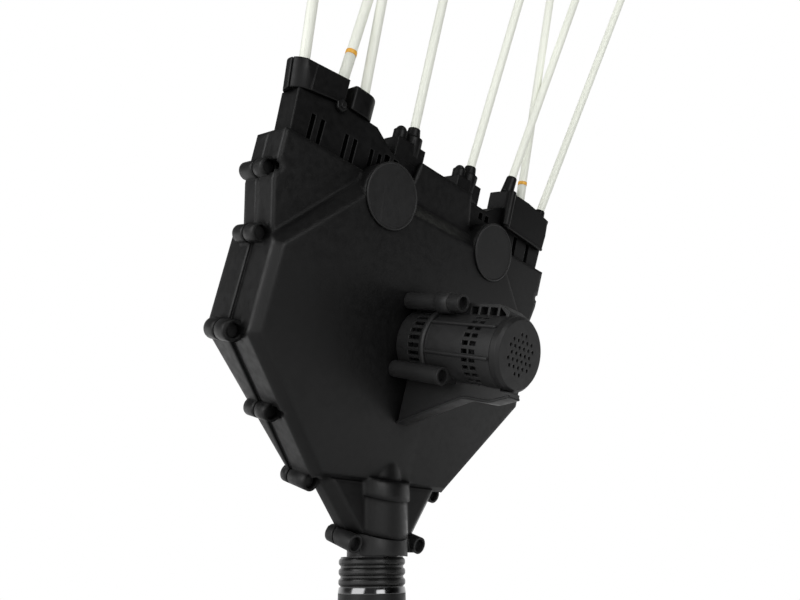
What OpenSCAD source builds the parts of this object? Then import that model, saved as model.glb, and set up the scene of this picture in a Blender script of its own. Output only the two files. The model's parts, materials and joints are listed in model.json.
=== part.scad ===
// Twin-hand olive harvester head on a short length of pole, in millimetres.
// Z runs up the pole, the motor side faces -Y and X is to the right seen from the motor side.
// The head leans towards the motor side. Its pieces are drawn in a head frame: x across,
// y the depth behind the front face, z up the head from where the pole axis meets that face.

/* [Pole] */
// Outside diameter of the pole tube
pole_d = 38; // [30:0.5:45]
// Wall of the pole tube
pole_wall = 2; // [1.5:0.1:3]
// Length of pole tube drawn below the ring
pole_len = 71.3; // [50:0.1:300]
// Outside diameter of the neck tube that joins pole and head
neck_d = 29; // [26:0.5:30]
// Wall of the neck tube
neck_wall = 2.5; // [1.5:0.1:4]
// Length of the neck tube inside the pole
neck_in = 50; // [30:1:65]
// Rise of the neck tube above the boot
neck_rise = 50; // [40:1:55]
// Radial room between tubes and what they sit in
tube_gap = 0.05; // [0.02:0.01:0.1]

/* [Boot and collar] */
// Height of the bright ring on the pole
ring_h = 3.3; // [2:0.1:8]
// Outside radius of the bright ring
ring_r = 18.4; // [17.6:0.1:19]
// Pitch of the boot ribs
rib_pitch = 5.2; // [4:0.1:8]
// Number of boot ribs
rib_count = 3; // [2:1:6]
// Radius over the boot ribs
rib_r = 18.9; // [18.4:0.1:20]
// Radius in the boot grooves
groove_r = 17.8; // [17.5:0.1:18.2]
// Outside radius of the collar
collar_r = 20.4; // [19.5:0.1:22]
// Wall of the collar's back half
collar_wall = 3; // [2:0.1:4]
// Height of the collar's foot
collar_low = 4; // [2:0.5:6]
// Height of the collar's top
collar_top = 14.2; // [12:0.1:16]
// Distance of an ear's axis from the middle
ear_x = 25.5; // [24:0.5:28]
// Height of the ears' axis
ear_z = 10; // [9:0.5:11]
// Radius of the ears
ear_r = 4.8; // [4.4:0.1:5.5]
// Depth of the ear fronts
ear_front = -11; // [-14:0.5:-8]
// Depth of the ear backs
ear_back = 10; // [8:0.5:12]
// Gap between the collar halves
collar_split = 1; // [0.5:0.1:2]

/* [Head] */
// Lean of the head towards the motor side, in degrees
head_lean = 19; // [0:1:30]
// Wall of both covers
wall = 3; // [2:0.1:4]
// Depth of the parting face
split_y = 23; // [20:0.5:26]
// Thickness of the gasket
gasket_t = 1; // [0.6:0.1:1.5]
// Depth of the rear cover at its low edge
low_back_y = 26.5; // [25.5:0.5:30]
// Depth of the rear cover's sides
side_back_y = 45; // [40:0.5:48]
// Depth of the rear cover's back
back_y = 54; // [48:0.5:60]
// Bevel round the raised front face
front_bevel = 4.2; // [2:0.1:8]
// Bevel round the back
rear_bevel = 8; // [4:0.5:12]
// Half width at the low edge of the raised face
low_half = 53; // [40:0.5:65]
// Height of the low edge of the raised face
low_z = 39; // [30:0.5:50]
// Half width at the wide corners
wide_half = 113.5; // [90:0.5:130]
// Height of the wide corners
corner_z = 103.5; // [90:0.5:120]
// Height where the straight sides end
shoulder_z = 155; // [140:0.5:160]
// Half width where the roof line meets the pivot discs
roof_half = 65; // [60:0.5:67]
// Height there
roof_z = 208; // [204:0.5:210]
// Half width of the level part of the roof line
crest_half = 33; // [31:0.5:36]
// Height of the level part of the roof line
crest_z = 202.5; // [199:0.5:206]
// Drop of the roof slope's front edge at the shoulders
shoulder_drop = 3; // [2:0.5:10]
// Drop of the roof slope's front edge at the pivot discs
roof_drop = 6; // [4:0.5:16]
// How far the rear cover stands out past the front one
rear_out = 0.8; // [0:0.1:3]

/* [Upper part] */
// Depth of the recessed upper face
up_y = 8; // [5:0.5:12]
// Depth of the upper part's back
up_back_y = 36; // [33:0.5:40]
// Half width at the foot of the upper part
up_low_half = 111; // [100:0.5:113]
// Height of that foot
up_low_z = 148; // [130:0.5:150]
// Half width at the upper part's bend
up_mid_half = 120.3; // [116:0.1:121]
// Height of that bend
up_mid_z = 182; // [170:0.5:186]
// Half width at the top of the upper part
up_half = 121; // [120.5:0.1:125]
// Height of the top edge beside the pivots
up_z = 210; // [200:0.5:220]
// Half width of the middle tab at its top
tab_half = 25; // [15:0.5:30]
// Half width of the middle tab at its foot
tab_low_half = 32; // [25:0.5:36]
// Height of the foot of the middle tab
tab_low_z = 200; // [190:0.5:206]
// Height of the top of the middle tab
tab_z = 234; // [222:0.5:240]
// Half width of the web that joins the covers in the middle
web_half = 4; // [2:0.5:6]

/* [Neck] */
// How far the neck face stands in front of the pole axis
neck_front = 12; // [9:0.5:14]
// Bevel along the neck's edges
neck_bevel = 5; // [2:0.5:6]
// Half width of the neck's edge lines at the boot
neck_half = 16.1; // [14:0.1:20]
// Height over the boot where the neck's edge lines end
neck_top = 46; // [45:0.5:48]
// Half width of the neck's edge lines there
neck_top_half = 52.5; // [46:0.5:54]
// Height of the neck's foot
neck_low = 14.8; // [13:0.1:17]
// Radius of the sleeve round the neck tube
sleeve_r = 17.6; // [17:0.1:18.5]
// Radius of the socket's front half
socket_r = 20.8; // [19.5:0.1:21.5]
// Radius of the raised band on the socket
band_r = 22.2; // [21.6:0.1:24]
// Height of the band's foot
band_low = 34; // [28:0.5:38]
// Height of the band's top
band_top = 44; // [41:0.5:48]

/* [Case bosses] */
// Radius of the bosses at the wide corners
boss_r = 5.8; // [5:0.1:8]
// Radius of the other bosses
boss_small_r = 5; // [4.2:0.1:6]
// Distance of a boss axis outside its wall
boss_out = 2.3; // [0:0.1:4]
// Depth of the boss fronts
boss_front = 13; // [8:0.5:14]
// Depth of the boss backs
boss_back = 34; // [32:0.5:40]
// Depth of the upper boss fronts
boss_up_front = 14; // [12:0.5:17]
// Depth of the upper boss backs
boss_up_back = 37; // [34:0.5:40]
// Height of the upper bosses
boss_up_z = 189; // [184:0.5:200]
// Depth of the low boss fronts
boss_low_front = 7.5; // [6:0.5:10]
// Depth of the low boss backs
boss_low_back = 30; // [29:0.5:34]
// Distance of the low bosses inside and below the low corners
boss_low_in = 2.6; // [1:0.1:4]
// Radius of a case screw
screw_r = 2; // [1.5:0.1:3]
// Radius of a screw head
head_r = 3.5; // [2.8:0.1:4]
// Height of a screw head
head_h = 3.2; // [2:0.1:4]
// Radial room round screws
screw_gap = 0.15; // [0.05:0.05:0.3]
// Depth of a screw head below its boss
head_sink = 3; // [0:0.1:3]

/* [Pivots] */
// Distance of a hand pivot from the middle
pivot_x = 49; // [40:0.5:60]
// Height of the hand pivots
pivot_z = 201; // [190:0.5:210]
// Radius of the pivot discs
disc_r = 19.5; // [15:0.1:24]
// How far a pivot cap stands out
cap_out = 1.2; // [1:0.1:5]
// Radius of the cap's locating step
cap_step_r = 10; // [8:0.1:14]
// Height of the cap's locating step
cap_step_h = 1; // [0.5:0.1:1.2]
// Radius of the pivot pins
pin_r = 6; // [4:0.1:8]
// Radius of the pin bosses inside the covers
pin_boss_r = 12; // [9:0.1:15]
// Outside radius of the pivot bushes
bush_r = 8; // [7:0.1:10]
// Length of a pivot bush
bush_len = 5; // [3:0.5:7]
// Running room round turning shafts
run_gap = 0.05; // [0.02:0.01:0.08]
// Gap between a hand and the bosses beside it
hand_gap = 0.6; // [0.3:0.1:1.2]

/* [Motor] */
// Height of the motor axis
motor_z = 126; // [115:0.5:135]
// Outside radius of the motor cover
mcover_r = 20; // [18:0.1:22]
// Wall of the motor cover
mcover_wall = 2; // [1.5:0.1:3]
// Length of the motor cover in front of the face
mcover_len = 68; // [55:0.5:80]
// Thickness of the motor end cap
endcap_t = 5.5; // [3:0.1:8]
// Bevel of the end cap
endcap_bevel = 1.6; // [0.5:0.1:3]
// Radius of the cover's flange ring
flange_r = 21.5; // [20.5:0.1:24]
// Thickness of the flange ring
flange_t = 3.5; // [1:0.1:5]
// Distance of the flange ring from the face
flange_at = 20; // [19:0.5:26]
// Drop of the seam below the motor axis
seam_drop = 7; // [0:0.5:8]
// Distance of the vent ring from the face
vent_at = 49.5; // [44:0.5:52]
// Length of the vents in each of two rows
vent_len = 4; // [2:0.1:5]
// Ring between the two rows of vents
vent_split = 1.2; // [0.8:0.1:2]
// Width of a vent
vent_w = 2.4; // [1:0.1:3]
// Number of vents round the cover
vent_count = 28; // [12:1:30]
// Distance of the foot vents from the face
foot_at = 9.5; // [2:0.5:10]
// Length of the foot vents
foot_len = 9; // [5:0.5:9]
// Spacing of the grille holes
grille_pitch = 4; // [3:0.1:6]
// Radius of a grille hole
grille_r = 0.95; // [0.5:0.05:1.5]
// Radius of the grille
grille_field = 10.6; // [6:0.1:14]
// Radius of the screw bosses of the motor cover
mboss_r = 5; // [4.5:0.1:6]
// Distance of the upper screw bosses from the middle
mboss_up_x = 16.5; // [12:0.5:24]
// Height of the upper screw bosses
mboss_up_z = 148; // [146:0.5:152]
// Length of the upper screw bosses
mboss_up_len = 42; // [20:0.5:50]
// Distance of the lower screw bosses from the middle
mboss_low_x = 16; // [12:0.5:24]
// Height of the lower screw bosses
mboss_low_z = 107; // [98:0.5:112]
// Length of the lower screw bosses
mboss_low_len = 38; // [20:0.5:50]
// Thickness of the keel under the motor
keel_t = 8; // [3:0.1:10]
// Height of the keel's foot on the face
keel_foot_z = 77; // [70:0.5:90]
// Reach of the keel's knee from the face
keel_knee = 46; // [30:0.5:55]
// Height of the keel's knee
keel_knee_z = 99.3; // [94:0.1:104]
// Reach of the keel's toe from the face
keel_toe = 63; // [50:0.5:66]
// Height of the keel's toe
keel_toe_z = 99.3; // [92:0.1:103]
// Reach of the keel's lip under the end cap
keel_end = 75; // [70:0.5:78]
// Width of the lips along the motor cover
lip_w = 1.4; // [0.8:0.1:3]
// Height of the lips along the motor cover
lip_h = 0.9; // [0.5:0.1:2]
// Turn of the lips from the top of the motor cover, in degrees
lip_turn = 59; // [45:1:70]
// Width of the upper bracket
bracket_w = 18; // [10:0.5:26]
// Height of the upper bracket
bracket_z = 150.5; // [149:0.5:154]
// Reach of the bracket's level top from the face
bracket_len = 62; // [50:0.5:65]
// Height of the bracket's far end
bracket_end_z = 147; // [146:0.5:149]
// Thickness of the bracket's middle web
bracket_web = 5; // [3:0.5:8]
// Thickness of the bracket's ribs
bracket_rib = 1.6; // [1:0.1:3]
// Spacing of the bracket's ribs
bracket_pitch = 6.5; // [5:0.5:8]

/* [Motor inside] */
// Outside radius of the motor can
can_r = 15.2; // [12:0.1:16]
// Wall of the motor can
can_wall = 1.5; // [0.8:0.1:2.5]
// Distance of the can's drive end from the face
can_at = 8; // [6:0.5:12]
// Length of the motor can
can_len = 52; // [40:0.5:56]
// Thickness of the can's ends
can_end_t = 2; // [1:0.1:4]
// Thickness of the motor plate
mplate_t = 3; // [2:0.1:5]
// Radius of the motor seat on the face
mseat_r = 16; // [12:0.1:16.2]
// Radius of the hole for the motor's nose
nose_r = 7; // [5:0.1:9]
// Radius of the rotor shaft
shaft_r = 2.5; // [1.5:0.1:4]
// Outside radius of the shaft bushes
sbush_r = 5; // [4:0.1:6]
// Length of the shaft bushes
sbush_len = 3.5; // [2:0.1:6]
// Thickness of a magnet
magnet_t = 1.4; // [0.8:0.1:3]
// Length of the magnets
magnet_len = 30; // [20:0.5:36]
// Gap between magnets and armature
air_gap = 0.7; // [0.3:0.1:1.5]
// Length of the armature
arm_core_len = 26; // [18:0.5:32]
// Distance of the armature from the can's drive end
arm_core_at = 12; // [8:0.5:16]
// Width of an armature slot
core_slot_w = 2; // [1:0.1:4]
// Depth of an armature slot
core_slot_d = 3; // [1:0.1:5]
// Number of armature slots
core_slots = 7; // [5:1:12]
// Radius of the commutator
comm_r = 5; // [3:0.1:7]
// Length of the commutator
comm_len = 8; // [4:0.5:9]
// Gap between armature and commutator
comm_gap = 2; // [1:0.1:4]
// Radius of the fan
fan_r = 11.8; // [8:0.1:12.5]
// Thickness of the fan
fan_t = 4; // [2:0.1:6]
// Distance of the fan from the can's drive end
fan_at = 6; // [4:0.5:9]
// Radius of the fan hub
fan_hub_r = 5; // [3.5:0.1:7]
// Thickness of a fan blade
blade_t = 1.2; // [0.6:0.1:2]
// Number of fan blades
blade_count = 9; // [5:1:15]
// Width of a brush
brush_w = 3; // [2:0.1:5]
// Gap between brush and commutator
brush_gap = 0.3; // [0.2:0.05:0.6]
// Thickness of the brush plate
bplate_t = 1.6; // [1:0.1:3]

/* [Drive] */
// Module of the gear teeth
gear_module = 1; // [0.8:0.1:1.5]
// Teeth on the pinion
pinion_teeth = 12; // [10:1:20]
// Teeth on the drive gear
gear_teeth = 52; // [40:1:60]
// Depth of the gears behind the front face
gear_y = 12; // [10:0.5:14]
// Width of the gears
gear_w = 6; // [4:0.5:8]
// Extra width of the pinion
pinion_more = 1; // [0:0.1:2]
// Radius of the crankshaft
crank_r = 5; // [4:0.1:7]
// Outside radius of the crank bearings
bearing_r = 9; // [8:0.1:12]
// Width of the crank bearings
bearing_w = 6; // [4:0.5:8]
// Radius of the bearing bosses
bearing_boss_r = 12; // [10:0.1:15]
// Depth of the front bearing
front_bearing_y = 4; // [3.5:0.1:6]
// Depth of the rear bearing
rear_bearing_y = 42; // [40:0.5:44]
// Radius of the eccentrics
ecc_r = 11; // [9:0.1:14]
// Thickness of an eccentric and of a connecting rod
link_t = 5; // [3:0.1:6]
// Depth of the left connecting rod
link_y = 24; // [23:0.5:26]
// Gap between the connecting rods
link_gap = 1; // [0.5:0.1:2]
// Ring width of the connecting rod's big end
big_ring = 4; // [2:0.1:6]
// Radius of the connecting rod's small end
small_r = 7; // [5:0.1:9]
// Width of the connecting rod's shank
shank_w = 9; // [5:0.5:12]
// Distance of the tail pins from the middle
tail_x = 30; // [22:0.5:36]
// Height of the tail pins
tail_z = 150; // [140:0.5:160]
// Radius of the tail pins
tail_pin_r = 3.5; // [2:0.1:5]
// Half swing of a hand, in degrees
hand_swing = 5; // [2:0.5:7]
// Gap between a tail pin and its connecting rod
open_gap = 0.5; // [0.3:0.1:1]

/* [Hands] */
// Depth of the arm's front
arm_y = 12; // [11.5:0.1:14]
// Thickness of the arm
arm_t = 16; // [10:0.5:18]
// Radius of the arm's hub
hub_r = 14; // [11:0.1:16]
// Outer edge of the arm at its top
arm_out = 118; // [110:0.5:118]
// Outer edge of the arm inside the covers
arm_step = 116; // [100:0.5:116]
// Height of the arm's outer low corner
arm_low_z = 206; // [200:0.5:212]
// Height of the arm's top at its outer edge
arm_top_out = 235; // [230:0.5:238]
// Height of the arm's top
arm_top = 240; // [236:0.5:242]
// Where the arm's top becomes level
arm_bend = 89.5; // [84:0.5:96]
// Inner end of the arm's level top
arm_level = 62; // [56:0.5:66]
// Height of the shelf for the middle holder
shelf_z = 231; // [226:0.5:236]
// Outer end of the shelf
shelf_out = 47; // [40:0.5:52]
// Inner end of the shelf
shelf_in = 22; // [16:0.5:28]
// Thickness of the shelf's inner end
shelf_t = 6; // [3:0.5:10]
// Width of an arm slot
slot_w = 2.6; // [1:0.1:4]
// Depth of an arm slot
slot_d = 4; // [1:0.1:7]
// Height of the foot of the arm slots
slot_low = 207; // [204:0.5:210]
// Height of the top of the arm slots
slot_top = 226; // [220:0.5:226]
// Distance of the outer slot pair from the middle
slot_a = 101.7; // [95:0.1:106]
// Distance of the second slot pair from the middle
slot_b = 77.9; // [70:0.1:84]
// Distance of the inner slot pair from the middle
slot_c = 58.4; // [52:0.1:64]
// Spacing of the slots in a pair
slot_pair = 6.4; // [4:0.1:9]
// Distance of the outer pocket over the disc from the middle
nook_a_x = 49.5; // [47:0.5:50]
// Distance of the inner pocket over the disc from the middle
nook_b_x = 42.5; // [40:0.5:43.5]
// Width of these pockets
nook_w = 4; // [2:0.1:5]
// Height of the foot of these pockets
nook_low = 223.5; // [222:0.5:225]
// Height of the top of these pockets
nook_top = 228; // [226.5:0.5:229]
// Distance of the right hand's outer slot from the middle
slot_d_x = 101.6; // [96:0.1:106]
// Distance of the right hand's inner slot from the middle
slot_e_x = 85.5; // [80:0.1:90]
// Width of the right hand's slots
slot_wide = 4; // [2:0.1:6]
// Height of the foot of the right hand's front rail
rail_z = 227; // [224:0.5:232]
// Depth of the tail's front
tail_y = 14; // [12:0.5:16]
// Thickness of the tail
tail_t = 8; // [5:0.5:8.5]
// Half width of the tail
tail_half = 8; // [5:0.5:10]

/* [Rods and clamps] */
// Radius of a rod
rod_r = 3; // [2:0.1:4]
// Length of a rod
rod_len = 360; // [200:5:500]
// Height where the rods leave their clamps
rod_base_z = 257; // [250:0.5:262]
// Depth of the rods there
rod_y = 18.2; // [15:0.1:22]
// Length of the rods below that height
rod_root = 23; // [12:0.5:26]
// Radial room round a rod
rod_gap = 0.05; // [0.02:0.01:0.2]
// First rod's distance from the middle
rod_a_x = 116.3; // [108:0.1:124]
// First rod's outward tilt
rod_a_out = 10; // [0:0.5:15]
// First rod's forward tilt
rod_a_fwd = 3.5; // [-5:0.5:8]
// Second rod's distance from the middle
rod_b_x = 89.3; // [84:0.1:95]
// Second rod's outward tilt
rod_b_out = -3.5; // [-6:0.5:8]
// Second rod's forward tilt
rod_b_fwd = -1; // [-5:0.5:8]
// Third rod's distance from the middle
rod_c_x = 72.5; // [66:0.1:80]
// Third rod's outward tilt
rod_c_out = 7; // [0:0.5:12]
// Third rod's forward tilt
rod_c_fwd = 3.5; // [-5:0.5:8]
// Fourth rod's distance from the middle
rod_d_x = 28.9; // [24:0.1:36]
// Fourth rod's outward tilt
rod_d_out = 3; // [0:0.5:8]
// Fourth rod's forward tilt
rod_d_fwd = 2; // [-5:0.5:8]
// Depth of the clamp fronts
clamp_y = 10; // [6:0.5:12]
// Depth of the clamp backs
clamp_back_y = 28; // [24:0.5:32]
// Height of the clamp tops
clamp_z = 254.5; // [252:0.5:256]
// Inner end of the inner clamp
clamp_in = 65; // [58:0.5:68]
// Gap between the clamps
clamp_split = 5; // [2:0.5:7]
// Fall of the outer clamp's top from its inner to its outer end
clamp_fall = 3.5; // [0:0.5:6]
// Radius of the outer clamp's round end
clamp_end_r = 9; // [7:0.1:10]
// Width of the slit in the outer clamp's round end
clamp_slit = 0.9; // [0.5:0.1:1.5]
// Depth of that slit behind the clamp fronts
clamp_slit_y = 5.2; // [4:0.1:6]
// Left reach of a middle holder from its rod
holder_left = 15.5; // [14:0.5:18]
// Right reach of a middle holder from its rod
holder_right = 8.5; // [7:0.5:12]
// Height of a middle holder's shoulders over its shelf
holder_low_z = 13; // [9:0.5:15]
// Height of a middle holder's top over its shelf
holder_z = 19; // [17:0.5:21]
// Radius of a middle holder's boss round the rod
holder_boss_r = 6.6; // [5:0.1:8]
// Radius of a middle holder's boss under the screw head
holder_nose_r = 4.6; // [4:0.1:5]
// Depth of a middle holder's back
holder_back_y = 26; // [24:0.5:30]
// Radius of a rod collar
rodcol_r = 4.8; // [4:0.1:6]
// Height of a rod collar
rodcol_h = 6; // [3:0.5:9]
// Height of the tall collar on the right hand
rodcol_tall = 13; // [8:0.5:16]
// Gap under a rod collar
rodcol_gap = 0.15; // [0.05:0.05:0.3]
// Radius of the clamp screws
csc_r = 1.8; // [1.2:0.1:2.5]
// Length of the clamp screws below their heads
csc_len = 22; // [14:0.5:24]
// Radius of the clamp screw heads
csc_head_r = 3.6; // [2.5:0.1:4.5]
// Depth of the clamp screw heads in the clamps
csc_sink = 4.2; // [3.8:0.1:6]
// Distance of a holder's screw from its rod
csc_off = 10.2; // [9:0.1:12]
// Distance of the outer clamp's screw from the middle
csc_a_x = 101.5; // [98:0.5:104]
// Distance of the inner clamp's screw from the middle
csc_b_x = 80; // [79:0.1:80]
// Outside radius of the marker rings
mark_r = 3.4; // [3.3:0.1:5]
// Height of the marker rings
mark_h = 2.5; // [1.5:0.1:5]
// Distance of the left marker up its rod from the clamp
mark_left = 16; // [12:0.5:60]
// Distance of the right marker up its rod from the clamp
mark_right = 12; // [10:0.5:60]

/* [Hidden] */
$fn = 64;
// Overrun of cutting shapes
over = 5;
pole_r = pole_d / 2;
pole_bore_r = pole_r - pole_wall;
neck_r = neck_d / 2;
boot_h = rib_pitch * rib_count;
boot_z = pole_len + ring_h;
head_z = boot_z + boot_h;
rear_y = split_y + gasket_t;
main_poly = both_sides([[low_half, low_z], [wide_half, corner_z], [wide_half, shoulder_z],
    [roof_half, roof_z], [crest_half, crest_z]]);
slope_poly = both_sides([[low_half, low_z], [wide_half, corner_z], [wide_half, shoulder_z - shoulder_drop],
    [roof_half, roof_z - roof_drop], [crest_half, crest_z - roof_drop]]);
face_poly = inset(slope_poly, front_bevel);
rear_poly = inset(main_poly, -rear_out);
diag_dir = [wide_half - low_half, corner_z - low_z];
// Place along the diagonal edge where the deep back begins
back_share = 0.42;
back_poly = both_sides([[low_half, low_z] + back_share * diag_dir, [wide_half, corner_z],
    [wide_half, shoulder_z], [roof_half, roof_z], [crest_half, crest_z]]);
side_poly = inset(both_sides([[wide_half, corner_z], [wide_half, shoulder_z], [roof_half, roof_z],
    [crest_half, crest_z]]), -rear_out);
up_poly = both_sides([[up_low_half, up_low_z], [up_mid_half, up_mid_z], [up_half, up_z]]);
tab_poly = both_sides([[tab_low_half, tab_low_z], [tab_half, tab_z]]);
neck_poly = both_sides([[neck_half, 0], [neck_top_half, neck_top]]);
up_hollow = both_sides([[up_low_half - wall, up_low_z + wall], [up_mid_half - wall, up_mid_z],
    [up_half - wall, up_z], [up_half - wall, tab_z + over]]);
// Place of the diagonal boss along its edge
diag_share = 0.465;
diag_n = [diag_dir[1], -diag_dir[0]] / norm(diag_dir);
diag_pt = [low_half, low_z] + diag_share * diag_dir + diag_n * boss_out / 2;
// Half width of the upper part beside its boss
up_edge = up_mid_half + (up_half - up_mid_half) * (boss_up_z - up_mid_z) / (up_z - up_mid_z);
// Each boss: across, up, depth of its front, depth of its back, radius
bosses = [
    [wide_half + boss_out, corner_z, boss_front, boss_back, boss_r],
    [wide_half + boss_out, shoulder_z, boss_front, boss_back, boss_small_r],
    [up_edge, boss_up_z, boss_up_front, boss_up_back, boss_small_r],
    [diag_pt[0], diag_pt[1], boss_front, boss_back, boss_small_r],
    [low_half - boss_low_in, low_z - boss_low_in, boss_low_front, boss_low_back, boss_small_r]];
hole_r = screw_r + screw_gap;
sink_r = head_r + screw_gap;
gear_pr = gear_module * gear_teeth / 2;
pinion_pr = gear_module * pinion_teeth / 2;
crank_z = motor_z - gear_pr - pinion_pr;
pin_y = cap_step_h + hand_gap;
pin_end = up_back_y - wall / 2;
hand_y0 = arm_y;
hand_y1 = arm_y + arm_t;
link2_y = link_y + link_t + link_gap;
tail_vec = [tail_x - pivot_x, tail_z - pivot_z];
throw = norm(tail_vec) * sin(hand_swing);
link_vec = [tail_x, tail_z - crank_z];
link_dir = link_vec / norm(link_vec);
can_y0 = -can_at - can_len;
can_y1 = -can_at;
can_in = can_r - can_wall;
core_r = can_in - magnet_t - air_gap;
core_y1 = can_y1 - arm_core_at;
core_y0 = core_y1 - arm_core_len;
comm_y1 = core_y0 - comm_gap;
comm_y0 = comm_y1 - comm_len;
seam_z = motor_z - seam_drop;
clamp_mid = arm_bend - clamp_split;
holder_top = shelf_z + holder_z;
slots = [slot_a - slot_pair / 2, slot_a + slot_pair / 2, slot_b - slot_pair / 2,
    slot_b + slot_pair / 2, slot_c - slot_pair / 2, slot_c + slot_pair / 2];
slots_right = [slot_d_x, slot_e_x];
// Height of the outer clamp's top over the first rod and over its screw
clamp_a_z = clamp_z - clamp_fall * (rod_a_x - arm_bend) / (arm_out - arm_bend);
clamp_s_z = clamp_z - clamp_fall * (csc_a_x - arm_bend) / (arm_out - arm_bend);
rods = [[rod_a_x, rod_a_out, rod_a_fwd], [rod_b_x, rod_b_out, rod_b_fwd],
    [rod_c_x, rod_c_out, rod_c_fwd], [rod_d_x, rod_d_out, rod_d_fwd]];
c_case = [0.13, 0.13, 0.14];
c_arm = [0.10, 0.10, 0.11];
c_rod = [0.90, 0.92, 0.88];
c_steel = [0.62, 0.63, 0.65];
c_alu = [0.55, 0.56, 0.58];
c_rubber = [0.08, 0.08, 0.08];
c_brass = [0.72, 0.58, 0.30];
c_copper = [0.70, 0.40, 0.25];
c_orange = [0.95, 0.45, 0.10];

function both_sides(p) = concat(p, [for (i = [len(p) - 1 : -1 : 0]) [-p[i][0], p[i][1]]]);
function edge_out(a, b) = [b[1] - a[1], a[0] - b[0]] / norm(b - a);
function inset(p, g) = [for (i = [0 : len(p) - 1])
    let (n1 = edge_out(p[(i + len(p) - 1) % len(p)], p[i]), n2 = edge_out(p[i], p[(i + 1) % len(p)]))
    p[i] - (n1 + n2) * g / (1 + n1 * n2)];
function grown(r, rb) = r <= rb ? 0 : tan(acos(rb / r)) * 180 / PI - acos(rb / r);
// Shape of one boot rib: share of its height, share of its pitch
rib_shares = [[0, 0], [0, 0.1], [0.75, 0.24], [1, 0.38], [1, 0.62], [0.75, 0.76], [0, 0.9]];
// Place of the drive gear's holes along its radius
gear_hole_share = 0.62;
// Tooth width share, tip height share and root depth share of the gears
tooth_shares = [0.8, 0.85, 1.3];
pressure = 20;
function tooth(z, m, k) = let (rp = m * z / 2, rb = rp * cos(pressure), ro = rp + m * tooth_shares[1],
    rr = rp - m * tooth_shares[2], h = 90 / z * tooth_shares[0] + grown(rp, rb), rs = max(rb, rr),
    rl = [rr, rs, (rs + ro) / 2, ro], c = 360 * k / z)
    concat([for (i = [0 : 3]) polar(rl[i], c - h + grown(rl[i], rb))],
        [for (i = [3 : -1 : 0]) polar(rl[i], c + h - grown(rl[i], rb))]);
function polar(r, a) = [r * cos(a), r * sin(a)];
function teeth(z, m) = [for (k = [0 : z - 1]) for (p = tooth(z, m, k)) p];

module head() {
    translate([0, 0, head_z]) rotate([head_lean, 0, 0]) children();
}
module slab(y0, y1) {
    translate([0, y1, 0]) rotate([90, 0, 0]) linear_extrude(height = y1 - y0) children();
}
module bar(x, z, r, y0, y1) {
    translate([x, y1, z]) rotate([90, 0, 0]) cylinder(r = r, h = y1 - y0);
}
module ribwall(x0, x1) {
    translate([x0, 0, 0]) rotate([90, 0, 90]) linear_extrude(height = x1 - x0) children();
}
module ring_z(r0, r1, z0, z1) {
    translate([0, 0, z0]) difference() {
        cylinder(r = r1, h = z1 - z0);
        translate([0, 0, -over]) cylinder(r = r0, h = z1 - z0 + 2 * over);
    }
}
module ring_y(x, z, r0, r1, y0, y1) {
    difference() {
        bar(x, z, r1, y0, y1);
        bar(x, z, r0, y0 - over, y1 + over);
    }
}
module pair() {
    children();
    mirror([1, 0, 0]) children();
}
module on_rod(q) {
    translate([q[0], rod_y, rod_base_z]) rotate([q[2], q[1], 0]) children();
}
module side(s) {
    if (s > 0) children();
    else mirror([1, 0, 0]) children();
}

module pole_tube() {
    color(c_alu) ring_z(pole_bore_r, pole_r, 0, pole_len);
}
module pole_ring() {
    color(c_rubber) {
        ring_z(neck_r + tube_gap, ring_r, pole_len, boot_z);
        ring_z(neck_r + tube_gap, pole_bore_r - tube_gap, pole_len - neck_in, pole_len);
    }
}
module pole_boot() {
    prof = concat([[neck_r + tube_gap, 0]],
        [for (i = [0 : rib_count - 1]) for (q = rib_shares)
            [groove_r + q[0] * (rib_r - groove_r), (i + q[1]) * rib_pitch]],
        [[groove_r, boot_h], [neck_r + tube_gap, boot_h]]);
    color(c_rubber) translate([0, 0, boot_z]) rotate_extrude() polygon(prof);
}
module neck_tube() {
    color(c_alu) ring_z(neck_r - neck_wall, neck_r, pole_len - neck_in, head_z + neck_rise);
}
module head_box(z0, z1) {
    head() translate([-wide_half, -pole_len, z0]) cube([2 * wide_half, pole_len * 2, z1 - z0]);
}
module pole_half(y0, y1) {
    translate([-wide_half, y0, head_z]) cube([2 * wide_half, y1 - y0, pole_len * 2]);
}
module collar_half(r, y0, y1) {
    difference() {
        union() {
            intersection() {
                translate([0, 0, head_z]) cylinder(r = r, h = pole_len);
                head_box(collar_low, collar_top);
                pole_half(y0, y1);
            }
            intersection() {
                translate([-ear_x, -ear_r * 2, head_z]) cube([2 * ear_x, ear_r * 4, pole_len]);
                head_box(ear_z - ear_r, ear_z + ear_r / 2);
                pole_half(y0, y1);
            }
            intersection() {
                head() pair() bar(ear_x, ear_z, ear_r, ear_front, ear_back);
                pole_half(y0, y1);
            }
        }
        cylinder(r = neck_r + tube_gap, h = head_z + pole_len);
        head() pair() bar(ear_x, ear_z, hole_r, ear_front - over, ear_back - wall / 2);
        head() pair() bar(ear_x, ear_z, sink_r, ear_front - over, ear_front + head_sink + head_h);
        cylinder(r = rib_r + hand_gap, h = head_z + hand_gap);
    }
}
module pole_collar() {
    color(c_case) collar_half(collar_r, -pole_len, -collar_split / 2);
}
module collar_back() {
    color(c_case) collar_half(neck_r + collar_wall, collar_split / 2, pole_len);
}
module collar_screws() {
    color(c_steel) head() pair() {
        bar(ear_x, ear_z, head_r, ear_front + head_sink, ear_front + head_sink + head_h);
        bar(ear_x, ear_z, screw_r, ear_front + head_sink + head_h, ear_back - wall / 2 - hand_gap);
    }
}

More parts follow.
